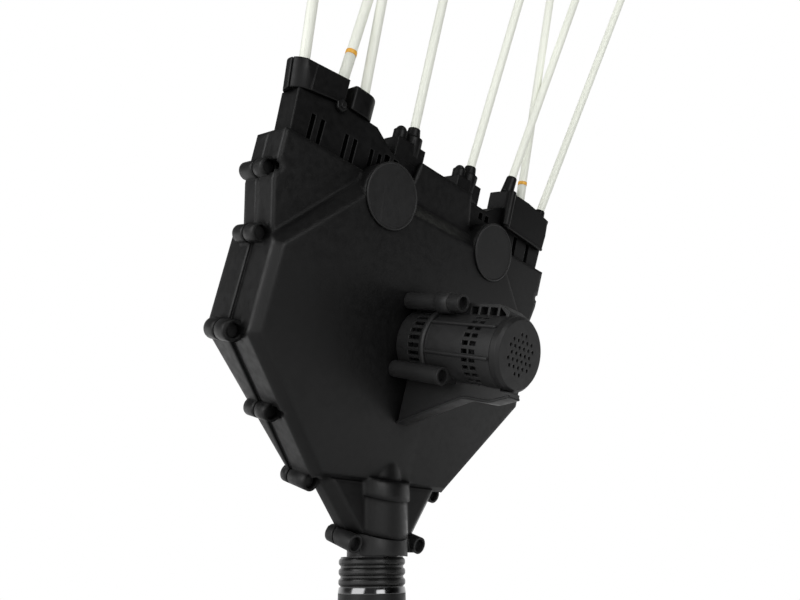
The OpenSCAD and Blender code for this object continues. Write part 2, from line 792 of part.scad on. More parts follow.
module sleeve(r, z0, z1, y0, y1) {
    intersection() {
        head() translate([-pole_d, y0, z0]) cube([2 * pole_d, y1 - y0, z1 - z0]);
        translate([0, 0, head_z]) cylinder(r = r, h = neck_rise + wall);
    }
}
module socket_cut() {
    translate([0, 0, head_z - pole_len]) cylinder(r = neck_r + tube_gap, h = pole_len + neck_rise);
}
module neck_plate() {
    intersection() {
        union() {
            translate([0, 0, head_z]) beveled(neck_poly, -neck_front, 0, neck_bevel);
            intersection() {
                union() {
                    translate([0, 0, head_z]) cylinder(r = socket_r, h = pole_len);
                    intersection() {
                        translate([0, 0, head_z]) cylinder(r = band_r, h = pole_len);
                        head_box(band_low, band_top);
                    }
                }
                pole_half(-pole_len, 0);
            }
        }
        head_box(neck_low, low_z + wall / 2);
    }
}
module beveled(p, y0, y1, b) {
    hull() {
        slab(y0 + b, y1) polygon(p);
        slab(y0, y1) polygon(inset(p, b));
    }
}
module boss_holes(y0, y1) {
    pair() for (b = bosses) bar(b[0], b[1], hole_r, y0, y1);
}
module motor_bosses(up_y0, low_y0, y1, r) {
    pair() {
        bar(mboss_up_x, mboss_up_z, r, up_y0, y1);
        bar(mboss_low_x, mboss_low_z, r, low_y0, y1);
    }
}
module front_cover() {
    color(c_case) difference() {
        union() {
            head() {
                difference() {
                    union() {
                        hull() {
                            slab(0, split_y) polygon(face_poly);
                            slab(front_bevel, split_y) polygon(slope_poly);
                            slab(up_y, split_y) polygon(main_poly);
                        }
                        slab(up_y, split_y) polygon(up_poly);
                        slab(up_y, split_y) polygon(tab_poly);
                        pair() bar(pivot_x, pivot_z, disc_r, 0, up_y + wall);
                    }
                    slab(wall, split_y + over) polygon(inset(face_poly, wall));
                    slab(front_bevel + wall, split_y + over) polygon(inset(slope_poly, wall));
                    slab(up_y + wall, split_y + over) polygon(inset(main_poly, wall));
                    slab(up_y + wall, split_y + over) polygon(up_hollow);
                }
                slab(up_y, split_y) polygon(both_sides([[web_half, crest_z - over], [web_half, tab_z]]));
                pair() for (b = bosses) bar(b[0], b[1], b[4], b[2], split_y);
                pair() bar(pivot_x, pivot_z, pin_boss_r, 0, arm_y - hand_gap);
                bar(0, crank_z, bearing_boss_r, 0, front_bearing_y + bearing_w);
                bar(0, motor_z, mseat_r, -can_at + mplate_t, wall);
                motor_bosses(0, 0, gear_y - hand_gap * 2, mboss_r);
            }
            neck_plate();
            sleeve(sleeve_r, neck_low, pole_len, -pole_d, split_y);
            sleeve(band_r, low_z, band_top, -pole_d, wall);
        }
        head() {
            pair() bar(pivot_x, pivot_z, cap_step_r + tube_gap, -over, cap_step_h);
            pair() bar(pivot_x, pivot_z, pin_r + tube_gap, 0, arm_y + over);
            bar(0, crank_z, bearing_r + tube_gap, front_bearing_y, gear_y + over);
            bar(0, motor_z, nose_r, -can_at - over, wall + over);
            motor_bosses(-over, -over, gear_y + over, hole_r);
            boss_holes(-over, split_y + over);
            pair() for (b = bosses) bar(b[0], b[1], sink_r, b[2] - over, b[2] + head_sink + head_h);
        }
        socket_cut();
    }
}
module rear_cover() {
    color(c_case) difference() {
        union() {
            head() {
                difference() {
                    union() {
                        hull() {
                            slab(rear_y, low_back_y) polygon(rear_poly);
                            slab(rear_y, side_back_y) polygon(side_poly);
                            slab(rear_y, back_y) polygon(inset(back_poly, rear_bevel));
                        }
                        slab(rear_y, up_back_y) polygon(up_poly);
                        slab(rear_y, up_back_y) polygon(tab_poly);
                    }
                    hull() {
                        slab(rear_y - over, rear_y) polygon(inset(rear_poly, wall));
                        slab(rear_y - over, side_back_y - wall) polygon(inset(side_poly, wall));
                        slab(rear_y - over, back_y - wall) polygon(inset(back_poly, rear_bevel + wall));
                    }
                    slab(rear_y - over, up_back_y - wall) polygon(up_hollow);
                }
                slab(rear_y, up_back_y) polygon(both_sides([[web_half, crest_z - over], [web_half, tab_z]]));
                pair() for (b = bosses) bar(b[0], b[1], b[4], rear_y, b[3]);
                pair() bar(pivot_x, pivot_z, pin_boss_r, hand_y1 + hand_gap, up_back_y);
                bar(0, crank_z, bearing_boss_r, rear_bearing_y, back_y);
            }
            sleeve(sleeve_r, neck_low, pole_len, rear_y, pole_len);
        }
        head() {
            pair() bar(pivot_x, pivot_z, pin_r + tube_gap, hand_y1 - over, pin_end + hand_gap);
            bar(0, crank_z, bearing_r + tube_gap, rear_bearing_y - over, rear_bearing_y + bearing_w);
            bar(0, crank_z, crank_r + hand_gap, rear_bearing_y, rear_bearing_y + bearing_w + hand_gap * 2);
            pair() for (b = bosses) bar(b[0], b[1], hole_r, rear_y - over, b[3] - wall);
        }
        socket_cut();
    }
}
module cover_gasket() {
    color(c_rubber) difference() {
        head() difference() {
            union() {
                slab(split_y, rear_y) polygon(main_poly);
                slab(split_y, rear_y) polygon(up_poly);
            }
            slab(split_y - over, rear_y + over) polygon(inset(main_poly, wall));
            slab(split_y - over, rear_y + over) polygon(up_hollow);
            boss_holes(split_y - over, rear_y + over);
        }
        translate([0, 0, head_z]) cylinder(r = sleeve_r + hand_gap, h = pole_len);
    }
}
module cover_screws() {
    color(c_steel) head() pair() for (b = bosses) {
        bar(b[0], b[1], head_r, b[2] + head_sink, b[2] + head_sink + head_h);
        bar(b[0], b[1], screw_r, b[2] + head_sink + head_h, b[3] - wall - hand_gap);
    }
}
module pivot_caps() {
    color(c_case) head() pair() {
        bar(pivot_x, pivot_z, disc_r, -cap_out, 0);
        bar(pivot_x, pivot_z, cap_step_r, 0, cap_step_h);
    }
}
module pivot_pins() {
    color(c_steel) head() pair() bar(pivot_x, pivot_z, pin_r, pin_y, pin_end);
}

module motor_tube() {
    difference() {
        union() {
            bar(0, motor_z, mcover_r, -mcover_len, 0);
            bar(0, motor_z, flange_r, -flange_at - flange_t, -flange_at);
        }
        for (i = [0 : vent_count - 1]) {
            motor_slot(i * 360 / vent_count, vent_at, vent_len);
            motor_slot(i * 360 / vent_count, vent_at + vent_len + vent_split, vent_len);
            motor_slot(i * 360 / vent_count, foot_at, foot_len);
        }
    }
}
module motor_slot(a, at, len) {
    r0 = mcover_r - 2 * mcover_wall;
    translate([0, 0, motor_z]) rotate([0, a, 0])
        translate([-vent_w / 2, -at - len, r0]) cube([vent_w, len, flange_r + over - r0]);
}
module motor_lips() {
    len = mcover_len - flange_at - flange_t;
    pair() translate([0, 0, motor_z]) rotate([0, lip_turn, 0])
        translate([-lip_w / 2, -mcover_len, mcover_r - mcover_wall]) cube([lip_w, len, mcover_wall + lip_h]);
}
module motor_body() {
    seat = motor_z - mcover_r + mcover_wall;
    lip_z = motor_z - mcover_r - hand_gap;
    roof = motor_z + mcover_r - mcover_wall * 2;
    difference() {
        union() {
            motor_tube();
            motor_bosses(-mboss_up_len, -mboss_low_len, 0, mboss_r);
            motor_lips();
            ribwall(-keel_t / 2, keel_t / 2) polygon([[0, keel_foot_z], [0, seat], [-mcover_len, seat],
                [-mcover_len, lip_z], [-keel_end, lip_z], [-keel_end, lip_z - mcover_wall],
                [-keel_toe, keel_toe_z], [-keel_knee, keel_knee_z]]);
            ribwall(-bracket_w / 2, bracket_w / 2) polygon([[0, roof], [0, bracket_z],
                [-bracket_len, bracket_z], [-mcover_len, bracket_end_z], [-mcover_len, roof]]);
            translate([-mboss_up_x, -mboss_up_len * 2 / 3, mboss_up_z - mcover_wall])
                cube([2 * mboss_up_x, mboss_up_len * 2 / 3, bracket_z - mboss_up_z + mcover_wall]);
            translate([-mboss_low_x, -mboss_low_len, mboss_low_z - mcover_wall])
                cube([2 * mboss_low_x, mboss_low_len, mcover_wall * 2]);
        }
        bar(0, motor_z, mcover_r - mcover_wall, -mcover_len - over, over);
        bracket_pockets();
        motor_bosses(-mcover_len, -mcover_len, over, hole_r);
        pair() {
            bar(mboss_up_x, mboss_up_z, sink_r, -mcover_len, -mboss_up_len + head_h + head_sink);
            bar(mboss_low_x, mboss_low_z, sink_r, -mcover_len, -mboss_low_len + head_h + head_sink);
        }
    }
}
module bracket_pockets() {
    low = motor_z + mcover_r * cos(asin(bracket_w / 2 / mcover_r));
    top = bracket_z - mcover_wall;
    end = -mcover_len + mcover_wall;
    pair() difference() {
        ribwall(bracket_web / 2, bracket_w) polygon([[-mboss_up_len, low], [-mboss_up_len, top],
            [-bracket_len, top], [end, bracket_end_z - mcover_wall], [end, low]]);
        bar(0, motor_z, mcover_r, -mcover_len, 0);
        for (i = [1 : 3]) translate([0, -mboss_up_len - i * bracket_pitch, motor_z])
            cube([bracket_w, bracket_rib, bracket_z - motor_z]);
    }
}
module half_space(z0, z1) {
    translate([-wide_half, -2 * mcover_len, z0]) cube([2 * wide_half, 3 * mcover_len, z1 - z0]);
}
module motor_cover_top() {
    color(c_case) head() intersection() {
        motor_body();
        half_space(seam_z, seam_z + wide_half);
    }
}
module motor_cover_bottom() {
    color(c_case) head() intersection() {
        motor_body();
        half_space(seam_z - wide_half, seam_z);
    }
}
module motor_end_cap() {
    n = ceil(grille_field / grille_pitch);
    y0 = -mcover_len - endcap_t;
    color(c_case) head() difference() {
        union() {
            bar(0, motor_z, mcover_r, y0 + endcap_bevel, -mcover_len);
            translate([0, y0 + endcap_bevel, motor_z]) rotate([90, 0, 0])
                cylinder(r1 = mcover_r, r2 = mcover_r - endcap_bevel, h = endcap_bevel);
            bar(0, motor_z, mcover_r - mcover_wall - tube_gap, -mcover_len, -mcover_len + mcover_wall);
        }
        bar(0, motor_z, mcover_r - mcover_wall * 2, y0 + mcover_wall, -mcover_len + over);
        for (i = [-n : n]) for (j = [-n : n]) let (p = grille_pitch * [i + j / 2, j * sin(60)])
            if (norm(p) <= grille_field)
                bar(p[0], motor_z + p[1], grille_r, y0 - over, y0 + mcover_wall + over);
    }
}
module motor_cover_screws() {
    up_y0 = -mboss_up_len + head_sink;
    low_y0 = -mboss_low_len + head_sink;
    color(c_steel) head() {
        motor_bosses(up_y0, low_y0, gear_y - wall, screw_r);
        pair() {
            bar(mboss_up_x, mboss_up_z, head_r, up_y0, up_y0 + head_h);
            bar(mboss_low_x, mboss_low_z, head_r, low_y0, low_y0 + head_h);
        }
    }
}
module motor_plate() {
    color(c_steel) head() ring_y(0, motor_z, nose_r, mseat_r, can_y1, can_y1 + mplate_t);
}
module motor_can() {
    color(c_steel) head() difference() {
        bar(0, motor_z, can_r, can_y0, can_y1);
        bar(0, motor_z, can_in, can_y0 + can_end_t, can_y1 - can_end_t);
        bar(0, motor_z, sbush_r + tube_gap, can_y0 - over, can_y1 + over);
    }
}
module motor_magnets() {
    y0 = core_y0 - comm_gap;
    color(c_rubber) head() difference() {
        ring_y(0, motor_z, can_in - magnet_t, can_in - tube_gap, y0, y0 + magnet_len);
        translate([-core_r / 2, core_y0 - magnet_len, motor_z - can_r])
            cube([core_r, magnet_len * 3, 2 * can_r]);
    }
}
module brush_plate() {
    color(c_brass) head() ring_y(0, motor_z, comm_r + air_gap, can_in - tube_gap,
        can_y0 + can_end_t, can_y0 + can_end_t + bplate_t);
}
module brushes() {
    y0 = can_y0 + can_end_t + bplate_t;
    color(c_rubber) head() pair() translate([comm_r + brush_gap, y0, motor_z - brush_w / 2])
        cube([can_in - comm_r - 3 * brush_gap, brush_w, brush_w]);
}
module shaft_bushes() {
    color(c_brass) head() {
        ring_y(0, motor_z, shaft_r + run_gap, sbush_r, can_y1 - sbush_len, can_y1);
        ring_y(0, motor_z, shaft_r + run_gap, sbush_r, can_y0 - sbush_len + can_end_t, can_y0 + can_end_t);
    }
}
module rotor_shaft() {
    color(c_steel) head() bar(0, motor_z, shaft_r, can_y0 - can_end_t, gear_y + gear_w + pinion_more);
}
module armature() {
    color(c_copper) head() difference() {
        ring_y(0, motor_z, shaft_r + tube_gap, core_r, core_y0, core_y1);
        for (i = [0 : core_slots - 1]) translate([0, 0, motor_z]) rotate([0, i * 360 / core_slots, 0])
            translate([-core_slot_w / 2, core_y0 - over, core_r - core_slot_d])
                cube([core_slot_w, arm_core_len + 2 * over, core_slot_d + over]);
    }
}
module commutator() {
    color(c_copper) head() ring_y(0, motor_z, shaft_r + tube_gap, comm_r, comm_y0, comm_y1);
}
module fan() {
    y1 = can_y1 - fan_at;
    color(c_case) head() difference() {
        union() {
            bar(0, motor_z, fan_hub_r, y1 - fan_t, y1);
            bar(0, motor_z, fan_r, y1 - blade_t, y1);
            for (i = [0 : blade_count - 1]) translate([0, 0, motor_z]) rotate([0, i * 360 / blade_count, 0])
                translate([-blade_t / 2, y1 - fan_t, fan_hub_r - blade_t])
                    cube([blade_t, fan_t, fan_r - fan_hub_r]);
        }
        bar(0, motor_z, shaft_r + tube_gap, y1 - fan_t - over, y1 + over);
    }
}
module toothed(z, turn, bore, y0, y1) {
    difference() {
        translate([0, y1, 0]) rotate([90, 0, 0]) rotate([0, 0, turn])
            linear_extrude(height = y1 - y0) polygon(teeth(z, gear_module));
        bar(0, 0, bore, y0 - over, y1 + over);
    }
}
module pinion() {
    turn = 180 / pinion_teeth - 90;
    color(c_steel) head() translate([0, 0, motor_z])
        toothed(pinion_teeth, turn, shaft_r + tube_gap, gear_y, gear_y + gear_w + pinion_more);
}
module drive_gear() {
    color(c_steel) head() translate([0, 0, crank_z]) difference() {
        toothed(gear_teeth, 90, crank_r + tube_gap, gear_y, gear_y + gear_w);
        for (i = [0 : 5]) rotate([0, i * 60, 0])
            bar(0, gear_pr * gear_hole_share, gear_pr / 6, gear_y - over, gear_y + gear_w + over);
    }
}
module crankshaft() {
    a = [-link_dir[1], -link_dir[0]] * throw;
    b = [-link_dir[1], link_dir[0]] * throw;
    color(c_steel) head() translate([0, 0, crank_z]) {
        bar(0, 0, crank_r, front_bearing_y + tube_gap, rear_bearing_y + bearing_w);
        bar(a[0], a[1], ecc_r, link_y, link_y + link_t);
        bar(b[0], b[1], ecc_r, link2_y, link2_y + link_t);
    }
}
module crank_bearings() {
    color(c_steel) head() for (y = [front_bearing_y, rear_bearing_y])
        ring_y(0, crank_z, crank_r + run_gap, bearing_r, y, y + bearing_w);
}
module left_link() {
    color(c_alu) head() link_at(1, link_y);
}
module right_link() {
    color(c_alu) head() link_at(-1, link2_y);
}
module link_at(s, y) {
    c = [-link_dir[1], -s * link_dir[0]] * throw;
    e = [-s * link_vec[0], link_vec[1]];
    v = e - c;
    translate([0, 0, crank_z]) difference() {
        union() {
            bar(c[0], c[1], ecc_r + big_ring, y, y + link_t);
            bar(e[0], e[1], small_r, y, y + link_t);
            translate([c[0], 0, c[1]]) rotate([0, atan2(v[0], v[1]), 0])
                translate([-shank_w / 2, y, 0]) cube([shank_w, link_t, norm(v)]);
        }
        bar(c[0], c[1], ecc_r + run_gap, y - over, y + link_t + over);
        bar(e[0], e[1], tail_pin_r + tube_gap, y - over, y + link_t + over);
    }
}

module rod_bores(q, r) {
    for (k = q) on_rod(rods[k]) translate([0, 0, -rod_root]) cylinder(r = r, h = rod_root * 2);
}
module screw_holes(xs, r, z) {
    for (x = xs) translate([x, rod_y, z - csc_len - over]) cylinder(r = r, h = csc_len + 2 * over);
}
module sink_holes(x, z) {
    translate([x, rod_y, z - csc_sink]) cylinder(r = csc_head_r + screw_gap, h = csc_sink + over);
}
module arm(s, pin_to) {
    fan_poly = [[pivot_x - hub_r, pivot_z - hub_r / 2], [pivot_x + hub_r, pivot_z - hub_r / 2],
        [arm_step, arm_low_z], [arm_out, arm_top_out],
        [arm_bend, arm_top], [arm_level, arm_top], [shelf_out, shelf_z], [shelf_in, shelf_z],
        [shelf_in, shelf_z - shelf_t], [pivot_x - hub_r, pivot_z + hub_r / 2]];
    tail_n = [tail_vec[1], -tail_vec[0]] / norm(tail_vec) * tail_half;
    tail_poly = [[pivot_x, pivot_z] - tail_n, [pivot_x, pivot_z] + tail_n, [tail_x, tail_z] + tail_n,
        [tail_x, tail_z] - tail_n];
    difference() {
        union() {
            slab(hand_y0, hand_y1) polygon(fan_poly);
            bar(pivot_x, pivot_z, hub_r, hand_y0, hand_y1);
            slab(tail_y, tail_y + tail_t) polygon(tail_poly);
            bar(tail_x, tail_z, tail_half, tail_y, tail_y + tail_t);
            bar(tail_x, tail_z, tail_pin_r, tail_y, pin_to);
            if (s > 0) slab(clamp_y, hand_y0) polygon([[clamp_in, rail_z], [arm_step, rail_z],
                [arm_out, arm_top_out], [arm_bend, arm_top], [clamp_in, arm_top]]);
        }
        bar(pivot_x, pivot_z, bush_r + tube_gap, hand_y0 - over, hand_y1 + over);
        if (s < 0) arm_slots(slots, slot_w, slot_low, slot_top);
        else arm_slots(slots_right, slot_wide, slot_low, slot_top);
        arm_slots([nook_a_x, nook_b_x], nook_w, nook_low, nook_top);
        rod_bores([0, 1, 2], rod_r + rod_gap);
        screw_holes([csc_a_x], csc_r + screw_gap, clamp_s_z);
        screw_holes([csc_b_x], csc_r + screw_gap, clamp_z);
        screw_holes([rod_d_x - s * csc_off], csc_r + screw_gap, holder_top);
    }
}
module arm_slots(xs, w, z0, z1) {
    for (x = xs) translate([x - w / 2, hand_y0 - over, z0]) cube([w, slot_d + over, z1 - z0]);
}
module bushes() {
    ring_y(pivot_x, pivot_z, pin_r + run_gap, bush_r, hand_y0, hand_y0 + bush_len);
    ring_y(pivot_x, pivot_z, pin_r + run_gap, bush_r, hand_y1 - bush_len, hand_y1);
}
module outer_clamp() {
    wide = arm_out + clamp_end_r * 2;
    run = (wide - arm_bend) / (arm_out - arm_bend);
    foot = [wide, arm_top - run * (arm_top - arm_top_out)];
    top = [wide, clamp_z - run * clamp_fall];
    inner = rod_a_x - clamp_end_r / 2;
    low = arm_top_out - over;
    difference() {
        intersection() {
            slab(clamp_y, clamp_back_y) polygon([[arm_bend, arm_top], foot, top, [arm_bend, clamp_z]]);
            union() {
                slab(clamp_y - over, clamp_back_y + over) polygon([[arm_bend, low], [inner, low],
                    [inner, clamp_z + over], [arm_bend, clamp_z + over]]);
                on_rod(rods[0]) translate([0, 0, -rod_root * 2]) cylinder(r = clamp_end_r, h = rod_root * 3);
            }
        }
        rod_bores([0, 1], rod_r + rod_gap);
        screw_holes([csc_a_x], csc_r + screw_gap, clamp_s_z);
        sink_holes(csc_a_x, clamp_s_z);
        on_rod(rods[0]) translate([rod_r * 2, clamp_y + clamp_slit_y - rod_y, -rod_root])
            cube([clamp_end_r, clamp_slit, rod_root * 2]);
    }
}
module inner_clamp() {
    difference() {
        slab(clamp_y, clamp_back_y) polygon([[clamp_in, arm_top], [clamp_mid, arm_top],
            [clamp_mid, clamp_z], [clamp_in, clamp_z]]);
        rod_bores([2], rod_r + rod_gap);
        screw_holes([csc_b_x], csc_r + screw_gap, clamp_z);
        sink_holes(csc_b_x, clamp_z);
    }
}
module holder(s) {
    x = s * rod_d_x;
    difference() {
        union() {
            translate([x - holder_left, hand_y0 + hand_gap, shelf_z])
                cube([holder_left + holder_right, holder_back_y - hand_y0 - hand_gap, holder_low_z]);
            side(s) on_rod(rods[3]) translate([0, 0, shelf_z + shelf_t - rod_base_z])
                cylinder(r = holder_boss_r, h = holder_z - shelf_t);
            translate([x - csc_off, rod_y, shelf_z + shelf_t])
                cylinder(r = holder_nose_r, h = holder_z - shelf_t);
        }
        side(s) rod_bores([3], rod_r + rod_gap);
        screw_holes([x - csc_off], csc_r + screw_gap, holder_top);
    }
}
module hand_rods() {
    for (q = rods) on_rod(q) translate([0, 0, -rod_root]) cylinder(r = rod_r, h = rod_len);
}
module hand_collars(ks, hs) {
    lift = [for (q = rods) rodcol_r * sin(abs(q[1]) + abs(q[2])) + rodcol_gap - rod_base_z];
    feet = [clamp_a_z + rodcol_r * clamp_fall / (arm_out - arm_bend) + lift[0], clamp_z + lift[1],
        clamp_z + lift[2], holder_top + lift[3]];
    for (i = [0 : len(ks) - 1]) on_rod(rods[ks[i]]) difference() {
        translate([0, 0, feet[ks[i]]]) cylinder(r1 = rodcol_r, r2 = rodcol_r - rod_r / 3, h = hs[i]);
        translate([0, 0, -rod_root]) cylinder(r = rod_r + rod_gap, h = 3 * rod_root);
    }
}
module dome_screw(x, z) {
    translate([x, rod_y, z - csc_len]) cylinder(r = csc_r, h = csc_len);
    translate([x, rod_y, z]) intersection() {
        sphere(r = csc_head_r);
        cylinder(r = csc_head_r, h = csc_head_r);
    }
}
module hand_screws(s) {
    side(s) {
        dome_screw(csc_a_x, clamp_s_z - csc_sink);
        dome_screw(csc_b_x, clamp_z - csc_sink);
    }
    dome_screw(s * rod_d_x - csc_off, holder_top);
}
module marker(up) {
    on_rod(rods[1]) ring_z(rod_r + rod_gap, mark_r, up, up + mark_h);
}

module left_arm() {
    color(c_arm) head() side(-1) arm(-1, link_y - open_gap);
}
module left_bushes() {
    color(c_brass) head() side(-1) bushes();
}
module left_outer_clamp() {
    color(c_arm) head() side(-1) outer_clamp();
}
module left_inner_clamp() {
    color(c_arm) head() side(-1) inner_clamp();
}
module left_holder() {
    color(c_arm) head() holder(-1);
}
module left_rods() {
    color(c_rod) head() side(-1) hand_rods();
}
module left_collar() {
    color(c_rubber) head() side(-1) hand_collars([3], [rodcol_h]);
}
module left_screws() {
    color(c_steel) head() hand_screws(-1);
}
module left_marker() {
    color(c_orange) head() side(-1) marker(mark_left);
}
module right_arm() {
    color(c_arm) head() side(1) arm(1, link2_y - open_gap);
}
module right_bushes() {
    color(c_brass) head() side(1) bushes();
}
module right_outer_clamp() {
    color(c_arm) head() side(1) outer_clamp();
}
module right_inner_clamp() {
    color(c_arm) head() side(1) inner_clamp();
}
module right_holder() {
    color(c_arm) head() holder(1);
}
module right_rods() {
    color(c_rod) head() side(1) hand_rods();
}
module right_collars() {
    color(c_rubber) head() side(1) hand_collars([0, 2, 3], [rodcol_h, rodcol_tall, rodcol_h]);
}
module right_screws() {
    color(c_steel) head() hand_screws(1);
}
module right_marker() {
    color(c_orange) head() side(1) marker(mark_right);
}

pole_tube();
pole_ring();
pole_boot();
neck_tube();
pole_collar();
collar_back();
collar_screws();
front_cover();
rear_cover();
cover_gasket();
cover_screws();
pivot_caps();
pivot_pins();
motor_cover_top();
motor_cover_bottom();
motor_end_cap();
motor_cover_screws();
motor_plate();
motor_can();
motor_magnets();
brush_plate();
brushes();
shaft_bushes();
rotor_shaft();
armature();
commutator();
fan();
pinion();
drive_gear();
crankshaft();
crank_bearings();
left_link();
right_link();
left_arm();
left_bushes();
left_outer_clamp();
left_inner_clamp();
left_holder();
left_rods();
left_collar();
left_screws();
left_marker();
right_arm();
right_bushes();
right_outer_clamp();
right_inner_clamp();
right_holder();
right_rods();
right_collars();
right_screws();
right_marker();
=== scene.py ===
import json
import math

import bmesh
import bpy
from mathutils import Matrix, Vector


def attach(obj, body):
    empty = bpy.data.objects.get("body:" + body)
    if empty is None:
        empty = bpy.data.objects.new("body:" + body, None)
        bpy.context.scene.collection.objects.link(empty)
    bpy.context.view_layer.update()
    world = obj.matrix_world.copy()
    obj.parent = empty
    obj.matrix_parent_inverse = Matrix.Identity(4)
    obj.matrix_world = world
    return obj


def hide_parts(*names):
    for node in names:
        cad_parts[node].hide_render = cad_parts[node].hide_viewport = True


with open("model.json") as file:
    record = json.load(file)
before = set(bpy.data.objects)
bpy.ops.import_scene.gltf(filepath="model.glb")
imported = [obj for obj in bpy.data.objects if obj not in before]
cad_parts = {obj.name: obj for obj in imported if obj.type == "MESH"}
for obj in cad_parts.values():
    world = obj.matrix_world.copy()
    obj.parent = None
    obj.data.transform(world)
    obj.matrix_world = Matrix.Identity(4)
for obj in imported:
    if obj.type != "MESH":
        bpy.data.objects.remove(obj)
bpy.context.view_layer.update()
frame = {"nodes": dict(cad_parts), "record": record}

scene = bpy.context.scene
scene.view_settings.view_transform = "Standard"
nodes = frame["nodes"]

# Places
LEAN = math.radians(19)
HEAD_Z = 0.0902
MM_PER_M = 1000
FORWARD = (0, -1, 0)
UPWARD = (0, 0, 1)
SIDES = (-1, 1)


def head(x, y, z):
    """The leaning head's frame in millimetres to the shared frame in metres."""
    c, s = math.cos(LEAN), math.sin(LEAN)
    return Vector((x, y * c - z * s, y * s + z * c)) / MM_PER_M + Vector((0, 0, HEAD_Z))


def pole(x, y, z):
    """The pole's frame in millimetres, from its lower end, to the shared frame in metres."""
    return Vector((x, y, z)) / MM_PER_M


# Camera
SENSOR_MM = 36
LENS_MM = 28.153
NEAREST = 0.01
PLACE = (-0.26917, -0.27892, 0.08372)
RIGHT = (0.6904, -0.7234, -0.0114)
UP = (-0.2783, -0.2801, 0.9187)
AHEAD = (0.6678, 0.6311, 0.3947)

lens = bpy.data.cameras.new("camera")
lens.sensor_width = SENSOR_MM
lens.lens = LENS_MM
lens.clip_start = NEAREST
camera = bpy.data.objects.new("camera", lens)
scene.collection.objects.link(camera)
axes = [[RIGHT[i], UP[i], -AHEAD[i], PLACE[i]] for i in range(3)]
camera.matrix_world = Matrix(axes + [[0, 0, 0, 1]])
scene.camera = camera

# Shared values of the materials
CLOUD_DETAIL, MID_DETAIL, GRAIN_DETAIL, FLOOR_DETAIL = 4.0, 5.0, 2.0, 3.0
MID_FINER = 9
DARK_AT, BASE_AT, PALE_AT = 0.3, 0.5, 0.72
NOISE_LOW, NOISE_HIGH = 0.3, 0.7
SMOOTHER, ROUGHER = 0.06, 0.08
GRAIN_DEPTH = 0.00006
SHADE_SAMPLES = 8
# Painted shade in creases: ambient occlusion levels, and the share of specular left where occlusion is
# deepest
SHADE_AO_DEEP, SHADE_AO_OPEN, SHADE_AO_SPECULAR = 0.45, 0.95, 0.15


def new_material(name):
    """A material with its nodes, its links and its shader."""
    m = bpy.data.materials.new(name)
    m.use_nodes = True
    return m, m.node_tree.nodes, m.node_tree.links, m.node_tree.nodes["Principled BSDF"]


def noise(tree, links, coords, scale, detail, stretch=None):
    """Noise at a scale, pulled along an axis where a stretch is given."""
    n = tree.new("ShaderNodeTexNoise")
    n.inputs["Scale"].default_value = scale
    n.inputs["Detail"].default_value = detail
    if stretch:
        m = tree.new("ShaderNodeMapping")
        m.inputs["Scale"].default_value = stretch
        links.new(coords, m.inputs["Vector"])
        coords = m.outputs["Vector"]
    links.new(coords, n.inputs["Vector"])
    return n.outputs["Fac"]


def ramp(tree, links, fac, stops):
    """Colours at stops along a factor."""
    r = tree.new("ShaderNodeValToRGB")
    while len(r.color_ramp.elements) < len(stops):
        r.color_ramp.elements.new(0.5)
    for e, (pos, col) in zip(r.color_ramp.elements, stops):
        e.position = pos
        e.color = (*col, 1)
    links.new(fac, r.inputs["Fac"])
    return r.outputs["Color"]


def remap(tree, links, value, start, end, low, high, curve="LINEAR"):
    """A value that goes from low to high between a start and an end."""
    r = tree.new("ShaderNodeMapRange")
    r.interpolation_type = curve
    for key, v in (("From Min", start), ("From Max", end), ("To Min", low), ("To Max", high)):
        r.inputs[key].default_value = v
    links.new(value, r.inputs["Value"])
    return r.outputs["Result"]


def moulded(name, base, rough, tone=0.25, grain=900.0, specular=0.5, stretch=None, metallic=0.0,
            cloud=28.0, strength=0.5, edge=0.0, crease_shade_reach=0.0):
    """A surface with cloudy tone, uneven roughness, a fine bump, softly shaded edges, and painted shade in
    creases, where the specular level drops with ambient occlusion.
    """
    m, tree, links, shader = new_material(name)
    coords = tree.new("ShaderNodeTexCoord").outputs["Object"]
    big = noise(tree, links, coords, cloud, CLOUD_DETAIL, stretch)
    fine = noise(tree, links, coords, grain, GRAIN_DETAIL, stretch)
    mid = noise(tree, links, coords, cloud * MID_FINER, MID_DETAIL, stretch)
    dark = tuple(c * (1 - tone) for c in base)
    pale = tuple(min(1.0, c * (1 + tone)) for c in base)
    colour = ramp(tree, links, big, [(DARK_AT, dark), (BASE_AT, base), (PALE_AT, pale)])
    links.new(colour, shader.inputs["Base Color"])
    uneven = remap(tree, links, mid, NOISE_LOW, NOISE_HIGH, rough - SMOOTHER, rough + ROUGHER)
    links.new(uneven, shader.inputs["Roughness"])
    bump = tree.new("ShaderNodeBump")
    bump.inputs["Strength"].default_value = strength
    bump.inputs["Distance"].default_value = GRAIN_DEPTH
    links.new(fine, bump.inputs["Height"])
    if edge:
        soft = tree.new("ShaderNodeBevel")
        soft.samples = SHADE_SAMPLES
        soft.inputs["Radius"].default_value = edge
        links.new(soft.outputs["Normal"], bump.inputs["Normal"])
    links.new(bump.outputs["Normal"], shader.inputs["Normal"])
    shader.inputs["Metallic"].default_value = metallic
    shader.inputs["Specular IOR Level"].default_value = specular
    # Painted shade: less specular where ambient occlusion is deep, so creases and hollows look shaded
    if crease_shade_reach:
        crease_ao = tree.new("ShaderNodeAmbientOcclusion")
        crease_ao.samples = SHADE_SAMPLES
        crease_ao.inputs["Distance"].default_value = crease_shade_reach
        shaded_specular = remap(tree, links, crease_ao.outputs["AO"], SHADE_AO_DEEP, SHADE_AO_OPEN,
                      SHADE_AO_SPECULAR * specular, specular)
        links.new(shaded_specular, shader.inputs["Specular IOR Level"])
    return m


